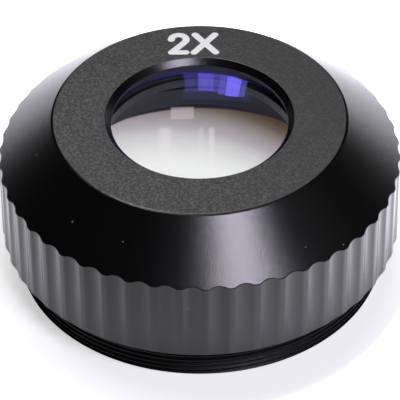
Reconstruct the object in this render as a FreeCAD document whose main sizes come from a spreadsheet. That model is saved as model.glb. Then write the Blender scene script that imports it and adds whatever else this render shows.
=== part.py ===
"""Auxiliary objective lens for a stereo microscope, modelled as it is assembled.

A turned housing with a conical nose, a fluted grip and a mounting thread holds a cemented
front doublet, a spacer, a large rear lens and the threaded ring that clamps the stack.
Millimetres. The optical axis is Z, the thread end stands on Z = 0 and the nose points up.
"""

import FreeCAD, Part
import os

import Sketcher

# Driving sizes

SIZES = {
    # Housing, outside
    "housing_height": 22.67,
    "grip_diameter": 52.06,
    "grip_base": 5.08,
    "grip_length": 11.33,
    "nose_diameter": 37.86,
    "nose_break": 0.15,
    "thread_diameter": 48.0,
    "thread_length": 4.1,
    "thread_chamfer": 0.15,
    "relief_diameter": 46.4,
    # Flutes round the grip, the phase turns the first one about the optical axis
    "flute_count": 50,
    "flute_depth": 0.30,
    "flute_radius": 2.8,
    "flute_phase": 1.3,
    # Housing, mouth and lens seat
    "aperture_diameter": 22.8,
    "mouth_chamfer": 0.75,
    "lip_depth": 1.16,
    "end_chamfer": 0.5,
    # Cemented front doublet
    "front_lens_diameter": 26.0,
    "front_surface_radius": 100.0,
    "cement_radius": 60.0,
    "crown_thickness": 5.0,
    "flint_thickness": 2.0,
    # Rear lens
    "rear_lens_diameter": 40.0,
    "rear_surface_radius": 130.0,
    "rear_lens_thickness": 5.2,
    "lens_bevel": 0.25,
    "lens_clearance": 0.05,
    # Spacer between the two groups
    "spacer_bearing": 0.8,
    "spacer_wall": 1.25,
    "spacer_pilot": 0.35,
    "spacer_web": 1.0,
    "spacer_clearance": 0.1,
    # Retaining ring
    "ring_thread_diameter": 42.0,
    "ring_thread_relief": 0.3,
    "ring_thread_clearance": 0.05,
    "ring_bore": 38.0,
    "ring_height": 3.5,
    "ring_recess": 1.52,
    "ring_break": 0.3,
    "slot_width": 1.6,
    "slot_depth": 1.2,
    "slot_overrun": 1.0,
}

SHEET = "Sizes"


def cell(name):
    """Expression that reads one driving size."""
    return f"{SHEET}.{name}"


def half(name):
    """Expression for half of one driving size, such as a radius from a diameter."""
    return f"({cell(name)} / 2)"


def sag(radius, reach):
    """Expression for the depth of a sphere at a distance from its axis."""
    return f"({radius} - sqrt({radius} * {radius} - {reach} * {reach}))"


def tangent_drop(radius, contact, reach):
    """Expression for the height, below a sphere's apex, of a cone that touches it at the contact.

    The height is taken at a distance from the axis, the reach, and is negative below the apex.
    """
    slope = f"({contact} / sqrt({radius} * {radius} - {contact} * {contact}))"
    return f"(({contact} - {reach}) * {slope} - {sag(radius, contact)})"


# Places along the axis, worked out from the driving sizes

THREAD_RADIUS = half("thread_diameter")
RELIEF_RADIUS = half("relief_diameter")
GRIP_RADIUS = half("grip_diameter")
NOSE_RADIUS = half("nose_diameter")
APERTURE_RADIUS = half("aperture_diameter")
FRONT_LENS_RADIUS = half("front_lens_diameter")
REAR_LENS_RADIUS = half("rear_lens_diameter")
FRONT_SPHERE = cell("front_surface_radius")
CEMENT_SPHERE = cell("cement_radius")
REAR_SPHERE = cell("rear_surface_radius")

GRIP_TOP = f"({cell('grip_base')} + {cell('grip_length')})"
NOSE_SLOPE = f"(({cell('housing_height')} - {GRIP_TOP}) / ({GRIP_RADIUS} - {NOSE_RADIUS}))"
LIP = f"({cell('housing_height')} - {cell('lip_depth')})"
SEAT_CONTACT = f"(({APERTURE_RADIUS} + {FRONT_LENS_RADIUS}) / 2)"
CROWN_APEX = f"({LIP} - {tangent_drop(FRONT_SPHERE, SEAT_CONTACT, APERTURE_RADIUS)})"
CEMENT_APEX = f"({CROWN_APEX} - {cell('crown_thickness')})"
FLINT_BACK = f"({CEMENT_APEX} - {cell('flint_thickness')})"
RING_BACK = cell("ring_recess")
REAR_LENS_BACK = f"({RING_BACK} + {cell('ring_height')})"
REAR_LENS_APEX = f"({REAR_LENS_BACK} + {cell('rear_lens_thickness')})"
WEB_TOP = f"({FLINT_BACK} - {cell('spacer_pilot')})"
WEB_BOTTOM = f"({WEB_TOP} - {cell('spacer_web')})"
SHOULDER = f"({WEB_TOP} + {cell('spacer_clearance')})"
FRONT_BORE = f"({FRONT_LENS_RADIUS} + {cell('lens_clearance')})"
REAR_BORE = f"({REAR_LENS_RADIUS} + {cell('lens_clearance')})"
RING_THREAD = half("ring_thread_diameter")


def make_sheet(doc):
    """Write the driving sizes into a spreadsheet, each cell with its own alias."""
    sheet = doc.addObject("Spreadsheet::Sheet", SHEET)
    for row, (name, value) in enumerate(SIZES.items(), start=1):
        sheet.set(f"A{row}", name)
        sheet.set(f"B{row}", str(value))
        sheet.setAlias(f"B{row}", name)
    doc.recompute()
    return sheet


def make_body(doc, label):
    """Start a sub-part."""
    body = doc.addObject("PartDesign::Body", label)
    body.Label = label
    body.Placement = FreeCAD.Placement()
    return body


def plane(body, role):
    """One of the body's own origin planes."""
    return next(feature for feature in body.Origin.OriginFeatures if feature.Role == role)


def make_sketch(body, name, role):
    """A sketch on one of the body's origin planes."""
    sketch = body.newObject("Sketcher::SketchObject", name)
    sketch.AttachmentSupport = (plane(body, role), "")
    sketch.MapMode = "FlatFace"
    return sketch


def tie(sketch, kind, references, value, expression):
    """Add a dimension to a sketch and bind it to the sheet."""
    index = sketch.addConstraint(Sketcher.Constraint(kind, *references, value))
    sketch.setExpression(f"Constraints[{index}]", expression)


def half_section(body, name, corners):
    """Sketch a closed half section in the plane of the axis.

    Each corner is a pair of expressions, its distance from the axis and its height.
    """
    sketch = make_sketch(body, name, "XZ_Plane")
    places = [tuple(float(sketch.evalExpression(term)) for term in corner) for corner in corners]
    sides = []
    for number, place in enumerate(places):
        beyond = places[(number + 1) % len(places)]
        line = Part.LineSegment(FreeCAD.Vector(*place, 0), FreeCAD.Vector(*beyond, 0))
        sides.append(sketch.addGeometry(line))
    for number, side in enumerate(sides):
        following = sides[(number + 1) % len(sides)]
        sketch.addConstraint(Sketcher.Constraint("Coincident", side, 2, following, 1))
    for side, corner, place in zip(sides, corners, places):
        for kind, axis, term, distance in zip(("DistanceX", "DistanceY"), (-2, -1), corner, place):
            if term == "0":
                sketch.addConstraint(Sketcher.Constraint("PointOnObject", side, 1, axis))
            else:
                tie(sketch, kind, (-1, 1, side, 1), distance, term)
    return sketch


def turn(body, sketch):
    """Revolve a half section round the optical axis."""
    turned = body.newObject("PartDesign::Revolution", "Turned" + body.Label.title().replace("_", ""))
    turned.Profile = sketch
    turned.ReferenceAxis = (sketch, ["V_Axis"])
    turned.Angle = 360.0
    body.Tip = turned
    return turned


def repeat_round_axis(body, feature, sketch, count):
    """Repeat a cut evenly round the optical axis, which the sketch's own axis lies on."""
    pattern = body.newObject("PartDesign::PolarPattern", feature.Name + "Pattern")
    pattern.Originals = [feature]
    pattern.Axis = (sketch, ["N_Axis"])
    pattern.Angle = 360.0
    pattern.setExpression("Occurrences", count)
    body.Tip = pattern
    return pattern


def make_housing(doc):
    """The one-piece turned housing: nose, fluted grip, mounting thread, mouth, seat and bores."""
    body = make_body(doc, "housing")
    thread_run_out = f"({cell('thread_length')} - ({THREAD_RADIUS} - {RELIEF_RADIUS}))"
    corners = [
        # Thread end and mounting thread
        (f"{RING_THREAD} + {cell('end_chamfer')}", "0"),
        (f"{THREAD_RADIUS} - {cell('thread_chamfer')}", "0"),
        (THREAD_RADIUS, cell("thread_chamfer")),
        (THREAD_RADIUS, thread_run_out),
        (RELIEF_RADIUS, cell("thread_length")),
        (RELIEF_RADIUS, cell("grip_base")),
        # Grip and nose
        (GRIP_RADIUS, cell("grip_base")),
        (GRIP_RADIUS, GRIP_TOP),
        (
            f"{NOSE_RADIUS} + {cell('nose_break')}",
            f"{cell('housing_height')} - {cell('nose_break')} * {NOSE_SLOPE}",
        ),
        (f"{NOSE_RADIUS} - {cell('nose_break')}", cell("housing_height")),
        # Mouth and lens seat
        (f"{APERTURE_RADIUS} + {cell('mouth_chamfer')}", cell("housing_height")),
        (APERTURE_RADIUS, f"{cell('housing_height')} - {cell('mouth_chamfer')}"),
        (APERTURE_RADIUS, LIP),
        (FRONT_BORE, f"{CROWN_APEX} + {tangent_drop(FRONT_SPHERE, SEAT_CONTACT, FRONT_BORE)}"),
        # Bores for the doublet, the spacer and the rear lens, and the ring's thread
        (FRONT_BORE, SHOULDER),
        (REAR_BORE, SHOULDER),
        (REAR_BORE, f"{REAR_LENS_BACK} + {cell('ring_thread_relief')}"),
        (RING_THREAD, f"{REAR_LENS_BACK} + {cell('ring_thread_relief')}"),
        (RING_THREAD, cell("end_chamfer")),
    ]
    section = half_section(body, "HousingSection", corners)
    blank = turn(body, section)

    flute = make_sketch(body, "FluteSection", "XY_Plane")
    away = f"({GRIP_RADIUS} - {cell('flute_depth')} + {cell('flute_radius')})"
    radius = float(flute.evalExpression(cell("flute_radius")))
    centre = FreeCAD.Vector(float(flute.evalExpression(away)), 0, 0)
    cutter = flute.addGeometry(Part.Circle(centre, FreeCAD.Vector(0, 0, 1), radius))
    flute.addConstraint(Sketcher.Constraint("PointOnObject", cutter, 3, -1))
    tie(flute, "DistanceX", (-1, 1, cutter, 3), centre.x, away)
    tie(flute, "Radius", (cutter,), radius, cell("flute_radius"))
    flute.setExpression("AttachmentOffset.Rotation.Angle", cell("flute_phase"))

    cut = body.newObject("PartDesign::Pocket", "Flute")
    cut.Profile = flute
    cut.Type = "Length"
    cut.Reversed = True
    cut.setExpression("Length", cell("housing_height"))
    body.Tip = cut
    repeat_round_axis(body, cut, flute, cell("flute_count"))
    doc.recompute()
    check_cut(body, blank)
    return body


def make_sphere(doc, name, radius, centre):
    """A sphere that a polished lens surface lies on, its poles turned away from the lens."""
    sphere = doc.addObject("Part::Sphere", name)
    sideways = FreeCAD.Rotation(FreeCAD.Vector(1, 0, 0), 90)
    sphere.Placement = FreeCAD.Placement(FreeCAD.Vector(0, 0, 0), sideways)
    sphere.setExpression("Radius", radius)
    sphere.setExpression("Placement.Base.z", centre)
    return sphere


def make_blank(doc, name, radius, back, front, bevel="0"):
    """A round glass blank, with a protective bevel on its back edge if one is given."""
    body = make_body(doc, name)
    corners = [("0", back), (f"{radius} - {bevel}", back)]
    if bevel != "0":
        corners.append((radius, f"{back} + {bevel}"))
    corners += [(radius, front), ("0", front)]
    turn(body, half_section(body, name + "Section", corners))
    return body


def make_front_crown(doc):
    """Front element of the doublet, convex on both sides."""
    common = doc.addObject("Part::MultiCommon", "front_crown_lens")
    common.Shapes = [
        make_blank(doc, "CrownBlank", FRONT_LENS_RADIUS, CEMENT_APEX, CROWN_APEX),
        make_sphere(doc, "CrownFront", FRONT_SPHERE, f"{CROWN_APEX} - {FRONT_SPHERE}"),
        make_sphere(doc, "CrownBack", CEMENT_SPHERE, f"{CEMENT_APEX} + {CEMENT_SPHERE}"),
    ]
    return common


def make_front_flint(doc):
    """Rear element of the doublet, hollow where the crown is cemented in and flat behind."""
    rim = f"({CEMENT_APEX} + {sag(CEMENT_SPHERE, FRONT_LENS_RADIUS)})"
    cut = doc.addObject("Part::Cut", "front_flint_lens")
    cut.Base = make_blank(doc, "FlintBlank", FRONT_LENS_RADIUS, FLINT_BACK, rim, cell("lens_bevel"))
    cut.Tool = make_sphere(doc, "FlintFront", CEMENT_SPHERE, f"{CEMENT_APEX} + {CEMENT_SPHERE}")
    return cut


def make_rear_lens(doc):
    """Large rear lens, convex towards the doublet and flat behind."""
    bevel = cell("lens_bevel")
    common = doc.addObject("Part::MultiCommon", "rear_lens")
    common.Shapes = [
        make_blank(doc, "RearLensBlank", REAR_LENS_RADIUS, REAR_LENS_BACK, REAR_LENS_APEX, bevel),
        make_sphere(doc, "RearLensFront", REAR_SPHERE, f"{REAR_LENS_APEX} - {REAR_SPHERE}"),
    ]
    return common


def make_spacer(doc):
    """Cup-shaped spacer that bears on the flint's flat back and on the rear lens's front."""
    body = make_body(doc, "lens_spacer")
    front_bore = f"({FRONT_LENS_RADIUS} - {cell('spacer_bearing')})"
    pilot = f"({FRONT_BORE} - {cell('spacer_clearance')})"
    rim = f"({REAR_BORE} - {cell('spacer_clearance')})"
    rear_bore = f"({rim} - {cell('spacer_wall')})"
    contact = f"(({rear_bore} + {rim}) / 2)"
    corners = [
        (front_bore, FLINT_BACK),
        (front_bore, WEB_BOTTOM),
        (rear_bore, WEB_BOTTOM),
        (rear_bore, f"{REAR_LENS_APEX} + {tangent_drop(REAR_SPHERE, contact, rear_bore)}"),
        (rim, f"{REAR_LENS_APEX} + {tangent_drop(REAR_SPHERE, contact, rim)}"),
        (rim, WEB_TOP),
        (pilot, WEB_TOP),
        (pilot, FLINT_BACK),
    ]
    turn(body, half_section(body, "SpacerSection", corners))
    return body


def make_ring(doc):
    """Threaded retaining ring with two slots for a pin spanner in its back."""
    body = make_body(doc, "retaining_ring")
    outer = f"({RING_THREAD} - {cell('ring_thread_clearance')})"
    inner = half("ring_bore")
    edge = cell("ring_break")
    corners = [
        (f"{inner} + {edge}", RING_BACK),
        (f"{outer} - {edge}", RING_BACK),
        (outer, f"{RING_BACK} + {edge}"),
        (outer, REAR_LENS_BACK),
        (inner, REAR_LENS_BACK),
        (inner, f"{RING_BACK} + {edge}"),
    ]
    blank = turn(body, half_section(body, "RingSection", corners))

    slot = make_sketch(body, "SlotSection", "XY_Plane")
    past_ring = f"{outer} + {cell('slot_overrun')}"
    reach = float(slot.evalExpression(past_ring))
    half_width = float(slot.evalExpression(half("slot_width")))
    spots = [(-reach, -half_width), (reach, -half_width), (reach, half_width), (-reach, half_width)]
    sides = []
    for number, (across, along) in enumerate(spots):
        beyond = spots[(number + 1) % len(spots)]
        line = Part.LineSegment(FreeCAD.Vector(across, along, 0), FreeCAD.Vector(*beyond, 0))
        sides.append(slot.addGeometry(line))
    for number, side in enumerate(sides):
        following = sides[(number + 1) % len(sides)]
        slot.addConstraint(Sketcher.Constraint("Coincident", side, 2, following, 1))
    for side, direction in zip(sides, ("Horizontal", "Vertical", "Horizontal", "Vertical")):
        slot.addConstraint(Sketcher.Constraint(direction, side))
    tie(slot, "DistanceX", (-1, 1, sides[0], 2), reach, past_ring)
    tie(slot, "DistanceX", (sides[0], 1, -1, 1), reach, past_ring)
    tie(slot, "DistanceY", (sides[0], 1, -1, 1), half_width, half("slot_width"))
    tie(slot, "DistanceY", (-1, 1, sides[2], 1), half_width, half("slot_width"))
    slot.setExpression("AttachmentOffset.Base.z", RING_BACK)

    cut = body.newObject("PartDesign::Pocket", "SpannerSlots")
    cut.Profile = slot
    cut.Type = "Length"
    cut.Reversed = True
    cut.setExpression("Length", cell("slot_depth"))
    body.Tip = cut
    doc.recompute()
    check_cut(body, blank)
    return body


def check_cut(body, blank):
    """Stop if the cuts that follow a blank took nothing away."""
    if not body.Shape.Volume < blank.Shape.Volume:
        raise RuntimeError(f"{body.Label}: the cuts removed nothing")


def check_document(doc, subparts):
    """Stop if any object failed to recompute or a sub-part isn't one valid solid."""
    for thing in doc.Objects:
        if {"Invalid", "Error"} & set(thing.State):
            raise RuntimeError(f"{thing.Label}: {thing.State}")
    for subpart in subparts:
        shape = subpart.Shape
        if shape.isNull() or not shape.isValid() or len(shape.Solids) != 1:
            raise RuntimeError(f"{subpart.Label}: not one valid solid")


def main():
    """Build every sub-part, check it and write it out."""
    doc = FreeCAD.newDocument("auxiliary_objective_lens")
    make_sheet(doc)
    makers = (make_housing, make_front_crown, make_front_flint, make_spacer, make_rear_lens, make_ring)
    subparts = [maker(doc) for maker in makers]
    doc.recompute()
    check_document(doc, subparts)
    os.makedirs("parts", exist_ok=True)
    for subpart in subparts:
        subpart.Shape.exportStep(f"parts/{subpart.Label}.step")
        print(f"{subpart.Label}: {subpart.Shape.Volume:.1f} cubic millimetres")


main()
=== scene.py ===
import logging
import math
from collections.abc import Callable, Mapping, Sequence
from dataclasses import dataclass, field
from enum import Enum

import bmesh
import bpy
from mathutils import Matrix, Vector


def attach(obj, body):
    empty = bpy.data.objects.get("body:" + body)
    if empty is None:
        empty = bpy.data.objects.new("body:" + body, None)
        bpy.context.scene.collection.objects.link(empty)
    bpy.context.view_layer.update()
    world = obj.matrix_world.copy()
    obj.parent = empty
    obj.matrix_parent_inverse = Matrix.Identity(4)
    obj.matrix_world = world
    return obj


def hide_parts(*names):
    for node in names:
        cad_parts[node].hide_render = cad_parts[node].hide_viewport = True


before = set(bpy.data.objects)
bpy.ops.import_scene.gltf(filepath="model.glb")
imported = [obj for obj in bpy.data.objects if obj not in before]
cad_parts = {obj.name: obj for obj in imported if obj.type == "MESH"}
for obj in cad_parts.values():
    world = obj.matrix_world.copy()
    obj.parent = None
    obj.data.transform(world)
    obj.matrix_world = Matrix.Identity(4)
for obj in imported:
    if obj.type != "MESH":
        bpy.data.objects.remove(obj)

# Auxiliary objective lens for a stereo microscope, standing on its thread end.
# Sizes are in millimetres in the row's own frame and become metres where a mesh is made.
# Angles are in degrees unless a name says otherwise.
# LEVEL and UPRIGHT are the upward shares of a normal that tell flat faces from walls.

log = logging.getLogger("auxiliary_objective")

MM = 0.001
MERGE_DISTANCE = 1.0e-6
LEVEL = 0.9
UPRIGHT = 0.3
BODY = "root"
FRONT = -90.0
NOWHERE = (0.0, 0.0, 0.0)
WHITE = (1.0, 1.0, 1.0)

Point = tuple[float, float]
Colour = tuple[float, float, float]
Piece = bpy.types.Object
Test = Callable[[Vector, Vector], bool]
Feed = "float | Colour | Signal"


class Slot(Enum):
    """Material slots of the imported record."""

    ANODISED = "black_anodised_aluminium"
    INNER = "black_inner_aluminium"
    COATED_GLASS = "coated_glass"
    FLINT_GLASS = "flint_glass"
    PAINT = "white_mark_paint"


class Element(Enum):
    """What a selection in edit mode is made of."""

    VERTEX = "VERT"
    FACE = "FACE"


class Change(Enum):
    """What one piece does to another."""

    JOIN = "UNION"
    CUT = "DIFFERENCE"
    TRIM = "INTERSECT"


class Ray(Enum):
    """Kinds of rays, as the Light Path node names them."""

    CAMERA = "Is Camera Ray"
    SHADOW = "Is Shadow Ray"
    GLOSSY = "Is Glossy Ray"
    TRANSMISSION = "Is Transmission Ray"


# Shader writing


@dataclass(frozen=True)
class Signal:
    """What one socket gives out, with Python's arithmetic on it where it is a number."""

    recipe: "Recipe"
    socket: bpy.types.NodeSocket

    def maths(self, operation: str, *operands: "Feed", clamp: bool = False) -> "Signal":
        """Add one Math node.

        Args:
            operation: the node's operation.
            operands: the numbers it works on, in order.
            clamp: whether the result is held between 0 and 1.

        Returns:
            The node's result.
        """
        feeds = dict(enumerate(operands))
        return self.recipe.read("ShaderNodeMath", feeds, operation=operation, use_clamp=clamp)

    def __add__(self, other: "Feed") -> "Signal":
        """Sum."""
        return self.maths("ADD", self, other)

    def __radd__(self, other: "Feed") -> "Signal":
        """Sum with the signal on the right."""
        return self.maths("ADD", other, self)

    def __sub__(self, other: "Feed") -> "Signal":
        """Difference."""
        return self.maths("SUBTRACT", self, other)

    def __rsub__(self, other: "Feed") -> "Signal":
        """Difference with the signal on the right."""
        return self.maths("SUBTRACT", other, self)

    def __mul__(self, other: "Feed") -> "Signal":
        """Product."""
        return self.maths("MULTIPLY", self, other)

    def __rmul__(self, other: "Feed") -> "Signal":
        """Product with the signal on the right."""
        return self.maths("MULTIPLY", other, self)

    def __pow__(self, other: "Feed") -> "Signal":
        """Power."""
        return self.maths("POWER", self, other)

    def below(self, limit: "Feed") -> "Signal":
        """1 where the signal is under the limit, otherwise 0."""
        return self.maths("LESS_THAN", self, limit)

    def larger(self, other: "Feed") -> "Signal":
        """The larger of two signals."""
        return self.maths("MAXIMUM", self, other)

    def held(self) -> "Signal":
        """The signal held between 0 and 1."""
        return self.maths("ADD", self, 0.0, clamp=True)

    def eased(self, low: float, high: float) -> "Signal":
        """The signal turned into a smooth step.

        Args:
            low: the signal that gives 0.
            high: the signal that gives 1.

        Returns:
            A signal from 0 to 1.
        """
        feeds = {"Value": self, "From Min": low, "From Max": high}
        kind = "ShaderNodeMapRange"
        return self.recipe.read(kind, feeds, "Result", interpolation_type="SMOOTHSTEP")


class Recipe:
    """A node tree that is written out step by step."""

    def __init__(self, tree: bpy.types.NodeTree) -> None:
        """Start on an empty tree.

        Args:
            tree: the tree of a material or a world.
        """
        self.tree = tree
        self.tree.nodes.clear()

    def node(
        self, kind: str, feeds: Mapping[str | int, "Feed"] | None = None, **settings: object
    ) -> bpy.types.Node:
        """Add any node.

        Args:
            kind: the node's type.
            feeds: numbers, colours or signals for its sockets, by name or number.
            settings: properties that are set first; "stops" holds a ramp's places and colours.

        Returns:
            The new node.
        """
        node = self.tree.nodes.new(kind)
        for name, value in settings.items():
            if name == "stops":
                self._set_stops(node.color_ramp, value)
            else:
                setattr(node, name, value)
        for name, value in (feeds or {}).items():
            socket = node.inputs[name]
            if isinstance(value, Signal):
                self.tree.links.new(value.socket, socket)
            else:
                socket.default_value = (*value, 1.0) if isinstance(value, tuple) else value
        return node

    @staticmethod
    def _set_stops(ramp: bpy.types.ColorRamp, stops: Sequence[tuple[float, Colour]]) -> None:
        """Put a ramp's stops in place, from left to right.

        Args:
            ramp: the ramp.
            stops: places from 0 to 1, each with its colour.
        """
        while len(ramp.elements) < len(stops):
            ramp.elements.new(1.0)
        for element, (position, colour) in zip(ramp.elements, stops):
            element.position = position
            element.color = (*colour, 1.0)

    def read(
        self,
        kind: str,
        feeds: Mapping[str | int, "Feed"] | None = None,
        output: str | int = 0,
        **settings: object,
    ) -> Signal:
        """Add any node and take one of its outputs.

        Args:
            kind: the node's type.
            feeds: numbers, colours or signals for its sockets, by name or number.
            output: the output's name or number.
            settings: properties that are set first.

        Returns:
            What the output gives.
        """
        return Signal(self, self.node(kind, feeds, **settings).outputs[output])

    def place(self, kind: str = "Object") -> Signal:
        """The place on the object, in metres, or another of the texture coordinates."""
        return self.read("ShaderNodeTexCoord", output=kind)

    def axes(self, kind: str = "Object") -> list[Signal]:
        """The three parts of a place: to the right, to the back and up."""
        parts = self.node("ShaderNodeSeparateXYZ", {0: self.place(kind)}).outputs
        return [Signal(self, part) for part in parts]

    def cloudy(self, scale: float, detail: float = 3.0, roughness: float = 0.5) -> Signal:
        """Soft noise over the object.

        Args:
            scale: patches per metre.
            detail: how many finer layers are added.
            roughness: how strong the finer layers are.

        Returns:
            A signal round 0.5.
        """
        feeds = {"Vector": self.place(), "Scale": scale, "Detail": detail, "Roughness": roughness}
        return self.read("ShaderNodeTexNoise", feeds)

    def blend(self, share: "Feed", first: "Feed", second: "Feed") -> Signal:
        """Mix two colours.

        Args:
            share: how much of the second colour there is.
            first: the colour at 0.
            second: the colour at 1.

        Returns:
            The mixed colour.
        """
        return self.read("ShaderNodeMix", {0: share, 6: first, 7: second}, 2, data_type="RGBA")

    def bumped(self, height: Signal, depth: float) -> Signal:
        """Normal of a surface with fine relief.

        Args:
            height: the relief, from 0 to 1.
            depth: the height of the relief in metres.

        Returns:
            The normal.
        """
        feeds = {"Height": height, "Distance": depth, "Strength": 1.0}
        return self.read("ShaderNodeBump", feeds, "Normal")

    def ray(self, *kinds: Ray) -> Signal:
        """1 for rays of any of the given kinds.

        Args:
            kinds: the kinds.

        Returns:
            A signal that is 0 for all other rays.
        """
        path = self.node("ShaderNodeLightPath")
        first, *others = [Signal(self, path.outputs[kind.value]) for kind in kinds]
        for other in others:
            first = first.larger(other)
        return first

    def clear(self, colour: Colour) -> Signal:
        """Shader that lets light straight through and tints it."""
        return self.read("ShaderNodeBsdfTransparent", {"Color": colour})

    def bent(self, colour: Colour, index: float) -> Signal:
        """Shader that bends light as polished glass does."""
        feeds = {"Color": colour, "Roughness": 0.0, "IOR": index}
        return self.read("ShaderNodeBsdfRefraction", feeds)

    def mixed(self, share: "Feed", first: Signal, second: Signal) -> Signal:
        """Mix two shaders, the share being how much of the second there is."""
        return self.read("ShaderNodeMixShader", {0: share, 1: first, 2: second})

    def finish(self, shader: Signal, output: str = "ShaderNodeOutputMaterial") -> None:
        """Join a shader to the tree's output."""
        self.node(output, {"Surface": shader})

    def finish_solid(self, feeds: Mapping[str, "Feed"]) -> None:
        """Finish a material with one Principled shader."""
        self.finish(self.read("ShaderNodeBsdfPrincipled", feeds))


# Finishes


@dataclass(frozen=True)
class Finish:
    """How a surface looks; every kind writes its own nodes."""

    name: str

    def make(self) -> bpy.types.Material:
        """Make the material.

        Returns:
            The new material.
        """
        material = bpy.data.materials.new(self.name)
        material.use_nodes = True
        self.write(Recipe(material.node_tree))
        return material

    def write(self, recipe: Recipe) -> None:
        """Write the material's nodes.

        Args:
            recipe: the material's empty tree.
        """
        raise NotImplementedError


@dataclass(frozen=True)
class AnodisedFinish(Finish):
    """Black anodised aluminium, bead blasted to a fine grain, with a little dust, and painted light
    that makes the grain lighter or darker across the surface where a slope is given.
    """

    tint: Colour = (0.0016, 0.0015, 0.0017)
    grain_tint: Colour = (0.0030, 0.0030, 0.0030)
    dust_tint: Colour = (0.20, 0.195, 0.19)
    gloss: float = 0.25
    gloss_spread: float = 0.045
    # Painted light: how much lighter the grain's tops get per metre to the right and to the back;
    # negative values paint shade.
    painted_light_slope: Point = (0.0, 0.0)
    index: float = 1.6
    grain_per_metre: float = 4300.0
    grain_detail: float = 0.65
    grain_depth: float = 1.6e-5
    grain_low: float = 0.45
    grain_contrast: float = 4.0
    specks_per_metre: float = 620.0
    speck_reach: float = 0.075
    speck_share: float = 0.12
    speck_cover: float = 0.8
    speck_dulling: float = 0.4

    def write(self, recipe: Recipe) -> None:
        """Write the material's nodes.

        Args:
            recipe: the material's empty tree.
        """
        grain = recipe.cloudy(self.grain_per_metre, roughness=self.grain_detail)
        feeds = {"Vector": recipe.place(), "Scale": self.specks_per_metre}
        cells = recipe.node("ShaderNodeTexVoronoi", feeds).outputs
        near = Signal(recipe, cells["Distance"]).below(self.speck_reach)
        lot = recipe.read("ShaderNodeSeparateColor", {0: Signal(recipe, cells["Color"])})
        speck = near * lot.below(self.speck_share)
        across, along, _ = recipe.axes()
        # Painted light and shade: the grain's tops are scaled by a slope across the surface,
        # standing in for how the light falls on it.
        painted_light_factor = across * self.painted_light_slope[0] + along * self.painted_light_slope[1] + 1.0
        grain_tops_and_painted_light = (((grain - self.grain_low) * self.grain_contrast).held() * painted_light_factor).held()
        grain_colour_and_painted_light = recipe.blend(grain_tops_and_painted_light, self.tint, self.grain_tint)
        rough = self.gloss + (grain - 0.5) * self.gloss_spread + speck * self.speck_dulling
        recipe.finish_solid(
            {
                "Base Color": recipe.blend(speck * self.speck_cover, grain_colour_and_painted_light, self.dust_tint),
                "Roughness": rough.held(),
                "IOR": self.index,
                "Normal": recipe.bumped(grain, self.grain_depth),
            }
        )


@dataclass(frozen=True)
class InnerFinish(Finish):
    """Matt black anodised inner surfaces with the fine grooves of the lathe tool."""

    tint: Colour = (0.010, 0.010, 0.011)
    worn_tint: Colour = (0.015, 0.015, 0.0165)
    gloss: float = 0.5
    gloss_spread: float = 0.12
    patches_per_metre: float = 160.0
    grain_per_metre: float = 4000.0
    groove_scale: float = 250.0
    groove_wobble: float = 0.3
    groove_share: float = 0.7
    groove_depth: float = 1.2e-5

    def write(self, recipe: Recipe) -> None:
        """Write the material's nodes.

        Args:
            recipe: the material's empty tree.
        """
        kind = "ShaderNodeTexWave"
        feeds = {
            "Vector": recipe.place(),
            "Scale": self.groove_scale,
            "Distortion": self.groove_wobble,
        }
        groove = recipe.read(kind, feeds, "Fac", bands_direction="Z", wave_profile="SAW")
        grain = recipe.cloudy(self.grain_per_metre, detail=2.0)
        relief = groove * self.groove_share + grain * (1.0 - self.groove_share)
        patches = recipe.cloudy(self.patches_per_metre, detail=2.0)
        recipe.finish_solid(
            {
                "Base Color": recipe.blend(patches, self.tint, self.worn_tint),
                "Roughness": (self.gloss + (patches - 0.5) * self.gloss_spread).held(),
                "IOR": 1.5,
                "Normal": recipe.bumped(relief, self.groove_depth),
            }
        )


@dataclass(frozen=True)
class CoatedGlassFinish(Finish):
    """Polished glass whose anti-reflection coating leaves a coloured reflection."""

    index: float = 1.517
    body: Colour = (0.985, 0.99, 0.99)
    reflection: Colour = (0.185, 0.155, 1.0)
    blur: float = 0.02
    smears_per_metre: float = 90.0
    smear_strength: float = 0.2

    def write(self, recipe: Recipe) -> None:
        """Write the material's nodes.

        Args:
            recipe: the material's empty tree.
        """
        smear = recipe.cloudy(self.smears_per_metre)
        feeds = {"Color": self.reflection, "Roughness": self.blur}
        coat = recipe.read("ShaderNodeBsdfAnisotropic", feeds)
        fresnel = recipe.read("ShaderNodeFresnel", {"IOR": self.index})
        share = fresnel * (1.0 - self.smear_strength / 2 + smear * self.smear_strength)
        surface = recipe.mixed(share, recipe.bent(self.body, self.index), coat)
        recipe.finish(recipe.mixed(recipe.ray(Ray.SHADOW), surface, recipe.clear(self.body)))


@dataclass(frozen=True)
class JointFinish(Finish):
    """A face in the cemented joint, which bends light a little or not at all.

    The index is the flint's index over the crown's, or 1 where light goes straight on.
    """

    index: float = 1.0
    body: Colour = (0.997, 0.997, 0.99)

    def write(self, recipe: Recipe) -> None:
        """Write the material's nodes.

        Args:
            recipe: the material's empty tree.
        """
        shader = recipe.clear(self.body)
        if self.index != 1.0:
            bent = recipe.bent(self.body, self.index)
            shader = recipe.mixed(recipe.ray(Ray.SHADOW), bent, shader)
        recipe.finish(shader)


@dataclass(frozen=True)
class CoatFinish(Finish):
    """An even coat over a fine grain, such as lacquer or paint."""

    low_tint: Colour
    high_tint: Colour
    gloss: float
    grain_per_metre: float
    grain_depth: float
    gloss_spread: float = 0.2

    def write(self, recipe: Recipe) -> None:
        """Write the material's nodes.

        Args:
            recipe: the material's empty tree.
        """
        grain = recipe.cloudy(self.grain_per_metre)
        recipe.finish_solid(
            {
                "Base Color": recipe.blend(grain, self.low_tint, self.high_tint),
                "Roughness": (self.gloss + (grain - 0.5) * self.gloss_spread).held(),
                "Normal": recipe.bumped(grain, self.grain_depth),
            }
        )


# Modelling by hand


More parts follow.
